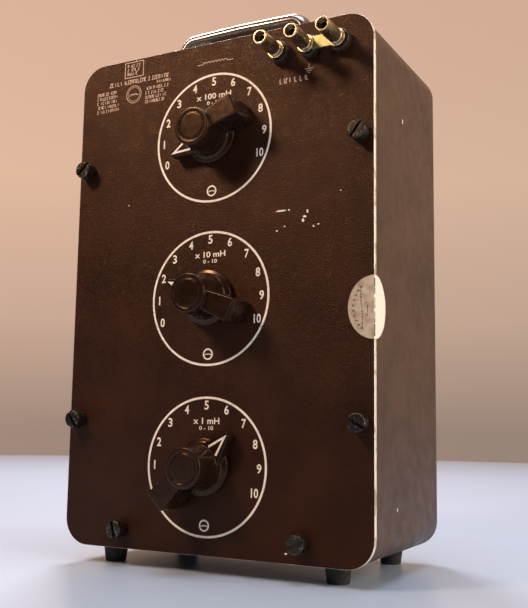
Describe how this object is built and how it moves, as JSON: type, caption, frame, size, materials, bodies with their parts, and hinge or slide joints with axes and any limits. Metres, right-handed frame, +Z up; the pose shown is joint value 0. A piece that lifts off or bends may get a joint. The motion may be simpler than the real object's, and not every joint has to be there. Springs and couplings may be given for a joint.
{
  "type": "decade inductance box",
  "caption": "Upright bench standard of inductance: a handled metal case with rotary pointer dials on its front panel, binding posts and a shorting link.",
  "frame": {"origin": "on the table, under the middle of the overall width and depth (binding posts included)", "axes": "+Z up, +Y from the front panel to the back, +X to the right as seen from the front"},
  "size_m": [0.2035, 0.145, 0.3393],
  "materials": {
    "crackle_paint": "fine crackle, half gloss",
    "panel_paint": "fine crackle, half gloss, edges worn to bare aluminium",
    "black_oxide_steel": "blackened, half gloss",
    "foot_rubber": "matt, dusty",
    "handle_leather_grain": "grained, half gloss",
    "nickel_plate": "nickel plate, slightly dulled",
    "seal_paper": "aged cream paper with printed dashes",
    "black_phenolic": "polished moulding",
    "shaft_steel": "turned",
    "brown_laminate": "paper laminate",
    "coil_winding": "enamelled wire, wound and varnished",
    "post_brass": "lacquered, tarnished",
    "post_base_plastic": "polished moulding",
    "link_plate": "tarnished, bright along its edges"
  },
  "bodies": {
    "case": {"case_shell": "crackle_paint", "front_panel": "panel_paint", "panel_screw_1": "black_oxide_steel", "panel_screw_2": "black_oxide_steel", "panel_screw_3": "black_oxide_steel", "panel_screw_4": "black_oxide_steel", "panel_screw_5": "black_oxide_steel", "panel_screw_6": "black_oxide_steel", "foot_front_left": "foot_rubber", "foot_front_right": "foot_rubber", "foot_rear_left": "foot_rubber", "foot_rear_right": "foot_rubber", "carry_handle": "handle_leather_grain", "handle_bracket_left": "nickel_plate", "handle_bracket_right": "nickel_plate", "calibration_seal": "seal_paper", "decade_100mh_bushing_nut": "nickel_plate", "decade_100mh_switch_housing": "black_phenolic", "decade_100mh_detent_spring": "shaft_steel", "decade_100mh_contact_plate": "brown_laminate", "decade_100mh_coil_stack": "coil_winding", "decade_10mh_bushing_nut": "nickel_plate", "decade_10mh_switch_housing": "black_phenolic", "decade_10mh_detent_spring": "shaft_steel", "decade_10mh_contact_plate": "brown_laminate", "decade_10mh_coil_stack": "coil_winding", "decade_1mh_bushing_nut": "nickel_plate", "decade_1mh_switch_housing": "black_phenolic", "decade_1mh_detent_spring": "shaft_steel", "decade_1mh_contact_plate": "brown_laminate", "decade_1mh_coil_stack": "coil_winding", "post_1_stud": "post_brass", "post_1_base": "post_base_plastic", "post_1_rear_nut": "nickel_plate", "post_2_stud": "post_brass", "post_2_base": "post_base_plastic", "post_2_rear_nut": "nickel_plate", "post_3_stud": "post_brass", "post_3_base": "post_base_plastic", "post_3_rear_nut": "nickel_plate"},
    "decade_100mh_control": {"decade_100mh_knob": "black_phenolic", "decade_100mh_shaft": "shaft_steel", "decade_100mh_detent_wheel": "shaft_steel", "decade_100mh_rotor": "brown_laminate"},
    "decade_10mh_control": {"decade_10mh_knob": "black_phenolic", "decade_10mh_shaft": "shaft_steel", "decade_10mh_detent_wheel": "shaft_steel", "decade_10mh_rotor": "brown_laminate"},
    "decade_1mh_control": {"decade_1mh_knob": "black_phenolic", "decade_1mh_shaft": "shaft_steel", "decade_1mh_detent_wheel": "shaft_steel", "decade_1mh_rotor": "brown_laminate"},
    "post_1_clamp": {"post_1_washer": "post_brass"},
    "post_1_nut": {"post_1_thumb_nut": "post_brass"},
    "post_2_clamp": {"post_2_washer": "post_brass"},
    "post_2_nut": {"post_2_thumb_nut": "post_brass"},
    "post_3_clamp": {"post_3_washer": "post_brass"},
    "post_3_nut": {"post_3_thumb_nut": "post_brass"},
    "link": {"shorting_link": "link_plate"}
  },
  "joints": [
    {"name": "decade_100mh_turn", "type": "hinge", "parent": "case", "child": "decade_100mh_control", "pos_m": [-0.0015, -0.0455, 0.2549], "axis": [0, 1, 0], "range_deg": [0, 225]},
    {"name": "decade_10mh_turn", "type": "hinge", "parent": "case", "child": "decade_10mh_control", "pos_m": [-0.0015, -0.0455, 0.1574], "axis": [0, 1, 0], "range_deg": [-45, 180]},
    {"name": "decade_1mh_turn", "type": "hinge", "parent": "case", "child": "decade_1mh_control", "pos_m": [-0.0015, -0.0455, 0.0599], "axis": [0, 1, 0], "range_deg": [-157.5, 67.5]},
    {"name": "post_1_travel", "type": "slide", "parent": "case", "child": "post_1_clamp", "axis": [0, -1, 0], "range_m": [0, 0.004]},
    {"name": "post_1_turn", "type": "hinge", "parent": "post_1_clamp", "child": "post_1_nut", "pos_m": [0.04405, -0.0455, 0.2986], "axis": [0, -1, 0], "range_deg": [0, 1800]},
    {"name": "post_2_travel", "type": "slide", "parent": "case", "child": "post_2_clamp", "axis": [0, -1, 0], "range_m": [0, 0.004]},
    {"name": "post_2_turn", "type": "hinge", "parent": "post_2_clamp", "child": "post_2_nut", "pos_m": [0.0631, -0.0455, 0.2986], "axis": [0, -1, 0], "range_deg": [0, 1800]},
    {"name": "post_3_travel", "type": "slide", "parent": "case", "child": "post_3_clamp", "axis": [0, -1, 0], "range_m": [0, 0.004]},
    {"name": "post_3_turn", "type": "hinge", "parent": "post_3_clamp", "child": "post_3_nut", "pos_m": [0.08215, -0.0455, 0.2986], "axis": [0, -1, 0], "range_deg": [0, 1800]},
    {"name": "link_swing", "type": "hinge", "parent": "case", "child": "link", "pos_m": [0.08215, -0.0455, 0.2986], "axis": [0, 1, 0], "range_deg": [0, 330]}
  ],
  "couplings": [
    {"joint": "post_1_turn", "follows": "post_1_travel", "rad_per_m": 7853.9},
    {"joint": "post_2_turn", "follows": "post_2_travel", "rad_per_m": 7853.9},
    {"joint": "post_3_turn", "follows": "post_3_travel", "rad_per_m": 7853.9}
  ]
}
